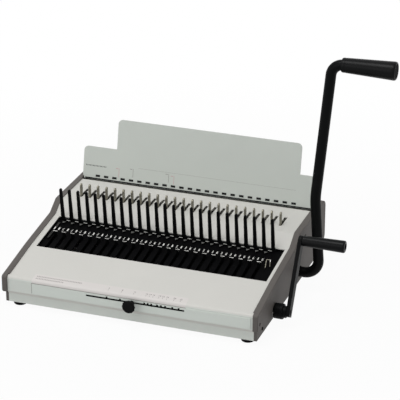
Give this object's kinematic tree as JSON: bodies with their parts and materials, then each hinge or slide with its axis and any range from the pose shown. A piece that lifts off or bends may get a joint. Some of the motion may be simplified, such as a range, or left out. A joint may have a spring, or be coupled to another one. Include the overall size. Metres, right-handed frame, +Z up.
{
  "type": "comb binding machine",
  "caption": "Desk-top comb punching and binding machine with a long side lever, an opener crank, a row of fingers and hooks, switchable dies and a paper slot.",
  "frame": {"origin": "middle of the footprint of the whole machine, lever grip included, on the surface that it stands on", "axes": "+X to the right of the user, +Y away from the user towards the back panel, +Z up"},
  "size_m": [0.5328, 0.3574, 0.3718],
  "materials": {
    "light_paint": "fine-textured light grey powder coat",
    "grey_paint": "fine-textured grey-green powder coat",
    "front_foil": "smooth light grey foil",
    "dark_plastic": "fine-grained dark grey moulding",
    "black_plastic": "satin black moulding",
    "black_metal": "satin black powder coat",
    "black_rubber": "matt black rubber",
    "zinc_steel": "zinc-plated steel",
    "bright_steel": "bright nickel-plated steel",
    "tab_steel": "dull yellow-grey plated steel",
    "tool_steel": "ground tool steel",
    "bronze": "sintered bronze"
  },
  "bodies": {
    "housing": {"base_pan": "light_paint", "main_cover": "light_paint", "rear_cover": "light_paint", "left_side_cover": "dark_plastic", "right_side_cover": "dark_plastic", "left_frame": "zinc_steel", "right_frame": "zinc_steel", "back_panel": "grey_paint", "comb_tray": "black_plastic", "comb_rests": "zinc_steel", "finger_rake": "black_metal", "front_plate": "front_foil", "guide_plate": "zinc_steel", "die_plate": "zinc_steel", "slot_shim": "zinc_steel", "shaft_bushes": "bronze", "feet": "black_rubber", "cover_screws": "black_metal", "return_spring": "zinc_steel"},
    "punch_lever": {"lever_tube": "black_metal", "lever_grip": "black_rubber", "lever_shaft": "zinc_steel", "lever_pinions": "zinc_steel"},
    "punch_carriage": {"punch_bar": "zinc_steel", "punch_pins": "tool_steel", "push_plates": "zinc_steel"},
    "opener_crank": {"crank_hub": "black_plastic", "crank_arm": "black_metal", "crank_handle": "black_plastic", "crank_shaft": "zinc_steel", "crank_sectors": "zinc_steel"},
    "hook_carriage": {"hook_carriage": "black_metal", "hooks": "bright_steel"},
    "stop_slider": {"stop_slider": "black_metal"},
    "stop_knob": {"stop_knob": "black_plastic"},
    "chip_drawer": {"chip_drawer": "black_plastic"},
    "die_slider_01": {"die_slider_01": "tab_steel"},
    "die_slider_02": {"die_slider_02": "tab_steel"},
    "die_slider_03": {"die_slider_03": "tab_steel"},
    "die_slider_04": {"die_slider_04": "tab_steel"},
    "die_slider_05": {"die_slider_05": "tab_steel"},
    "die_slider_06": {"die_slider_06": "tab_steel"},
    "die_slider_07": {"die_slider_07": "tab_steel"},
    "die_slider_08": {"die_slider_08": "tab_steel"},
    "die_slider_09": {"die_slider_09": "tab_steel"},
    "die_slider_10": {"die_slider_10": "tab_steel"},
    "die_slider_11": {"die_slider_11": "tab_steel"},
    "die_slider_12": {"die_slider_12": "tab_steel"},
    "die_slider_13": {"die_slider_13": "tab_steel"},
    "die_slider_14": {"die_slider_14": "tab_steel"},
    "die_slider_15": {"die_slider_15": "tab_steel"},
    "die_slider_16": {"die_slider_16": "tab_steel"},
    "die_slider_17": {"die_slider_17": "tab_steel"},
    "die_slider_18": {"die_slider_18": "tab_steel"},
    "die_slider_19": {"die_slider_19": "tab_steel"},
    "die_slider_20": {"die_slider_20": "tab_steel"},
    "die_slider_21": {"die_slider_21": "tab_steel"},
    "die_slider_22": {"die_slider_22": "tab_steel"},
    "die_slider_23": {"die_slider_23": "tab_steel"},
    "die_slider_24": {"die_slider_24": "tab_steel"}
  },
  "joints": [
    {"name": "punch_lever", "type": "hinge", "parent": "housing", "child": "punch_lever", "pos_m": [-0.06539, 0.04275, 0.028], "axis": [1, 0, 0], "range_deg": [0, 33], "stiffness_Nm_per_rad": 3, "springref_deg": -20.05},
    {"name": "punch_stroke", "type": "slide", "parent": "housing", "child": "punch_carriage", "axis": [0, 1, 0], "range_m": [0, 0.00779]},
    {"name": "opener_crank", "type": "hinge", "parent": "housing", "child": "opener_crank", "pos_m": [-0.06539, -0.08425, 0.023], "axis": [1, 0, 0], "range_deg": [0, 80]},
    {"name": "hook_pull", "type": "slide", "parent": "housing", "child": "hook_carriage", "axis": [0, -0.9925, -0.1219], "range_m": [0, 0.03631]},
    {"name": "stop_slide", "type": "slide", "parent": "housing", "child": "stop_slider", "axis": [1, 0, 0], "range_m": [-0.04, 0.0725]},
    {"name": "stop_lift", "type": "slide", "parent": "stop_slider", "child": "stop_knob", "axis": [0, 0, 1], "range_m": [0, 0.002]},
    {"name": "chip_drawer", "type": "slide", "parent": "housing", "child": "chip_drawer", "axis": [0, 1, 0], "range_m": [0, 0.055]},
    {"name": "die_slider_01", "type": "slide", "parent": "punch_carriage", "child": "die_slider_01", "axis": [0, 1, 0], "range_m": [0, 0.016]},
    {"name": "die_slider_02", "type": "slide", "parent": "punch_carriage", "child": "die_slider_02", "axis": [0, 1, 0], "range_m": [0, 0.016]},
    {"name": "die_slider_03", "type": "slide", "parent": "punch_carriage", "child": "die_slider_03", "axis": [0, 1, 0], "range_m": [0, 0.016]},
    {"name": "die_slider_04", "type": "slide", "parent": "punch_carriage", "child": "die_slider_04", "axis": [0, 1, 0], "range_m": [0, 0.016]},
    {"name": "die_slider_05", "type": "slide", "parent": "punch_carriage", "child": "die_slider_05", "axis": [0, 1, 0], "range_m": [0, 0.016]},
    {"name": "die_slider_06", "type": "slide", "parent": "punch_carriage", "child": "die_slider_06", "axis": [0, 1, 0], "range_m": [0, 0.016]},
    {"name": "die_slider_07", "type": "slide", "parent": "punch_carriage", "child": "die_slider_07", "axis": [0, 1, 0], "range_m": [0, 0.016]},
    {"name": "die_slider_08", "type": "slide", "parent": "punch_carriage", "child": "die_slider_08", "axis": [0, 1, 0], "range_m": [0, 0.016]},
    {"name": "die_slider_09", "type": "slide", "parent": "punch_carriage", "child": "die_slider_09", "axis": [0, 1, 0], "range_m": [0, 0.016]},
    {"name": "die_slider_10", "type": "slide", "parent": "punch_carriage", "child": "die_slider_10", "axis": [0, 1, 0], "range_m": [0, 0.016]},
    {"name": "die_slider_11", "type": "slide", "parent": "punch_carriage", "child": "die_slider_11", "axis": [0, 1, 0], "range_m": [0, 0.016]},
    {"name": "die_slider_12", "type": "slide", "parent": "punch_carriage", "child": "die_slider_12", "axis": [0, 1, 0], "range_m": [0, 0.016]},
    {"name": "die_slider_13", "type": "slide", "parent": "punch_carriage", "child": "die_slider_13", "axis": [0, 1, 0], "range_m": [0, 0.016]},
    {"name": "die_slider_14", "type": "slide", "parent": "punch_carriage", "child": "die_slider_14", "axis": [0, 1, 0], "range_m": [0, 0.016]},
    {"name": "die_slider_15", "type": "slide", "parent": "punch_carriage", "child": "die_slider_15", "axis": [0, 1, 0], "range_m": [0, 0.016]},
    {"name": "die_slider_16", "type": "slide", "parent": "punch_carriage", "child": "die_slider_16", "axis": [0, 1, 0], "range_m": [0, 0.016]},
    {"name": "die_slider_17", "type": "slide", "parent": "punch_carriage", "child": "die_slider_17", "axis": [0, 1, 0], "range_m": [0, 0.016]},
    {"name": "die_slider_18", "type": "slide", "parent": "punch_carriage", "child": "die_slider_18", "axis": [0, 1, 0], "range_m": [0, 0.016]},
    {"name": "die_slider_19", "type": "slide", "parent": "punch_carriage", "child": "die_slider_19", "axis": [0, 1, 0], "range_m": [0, 0.016]},
    {"name": "die_slider_20", "type": "slide", "parent": "punch_carriage", "child": "die_slider_20", "axis": [0, 1, 0], "range_m": [0, 0.016]},
    {"name": "die_slider_21", "type": "slide", "parent": "punch_carriage", "child": "die_slider_21", "axis": [0, 1, 0], "range_m": [0, 0.016]},
    {"name": "die_slider_22", "type": "slide", "parent": "punch_carriage", "child": "die_slider_22", "axis": [0, 1, 0], "range_m": [0, 0.016]},
    {"name": "die_slider_23", "type": "slide", "parent": "punch_carriage", "child": "die_slider_23", "axis": [0, 1, 0], "range_m": [0, 0.016]},
    {"name": "die_slider_24", "type": "slide", "parent": "punch_carriage", "child": "die_slider_24", "axis": [0, 1, 0], "range_m": [0, 0.016]}
  ],
  "couplings": [
    {"joint": "punch_stroke", "follows": "punch_lever", "m_per_rad": 0.0135},
    {"joint": "hook_pull", "follows": "opener_crank", "m_per_rad": 0.026}
  ]
}
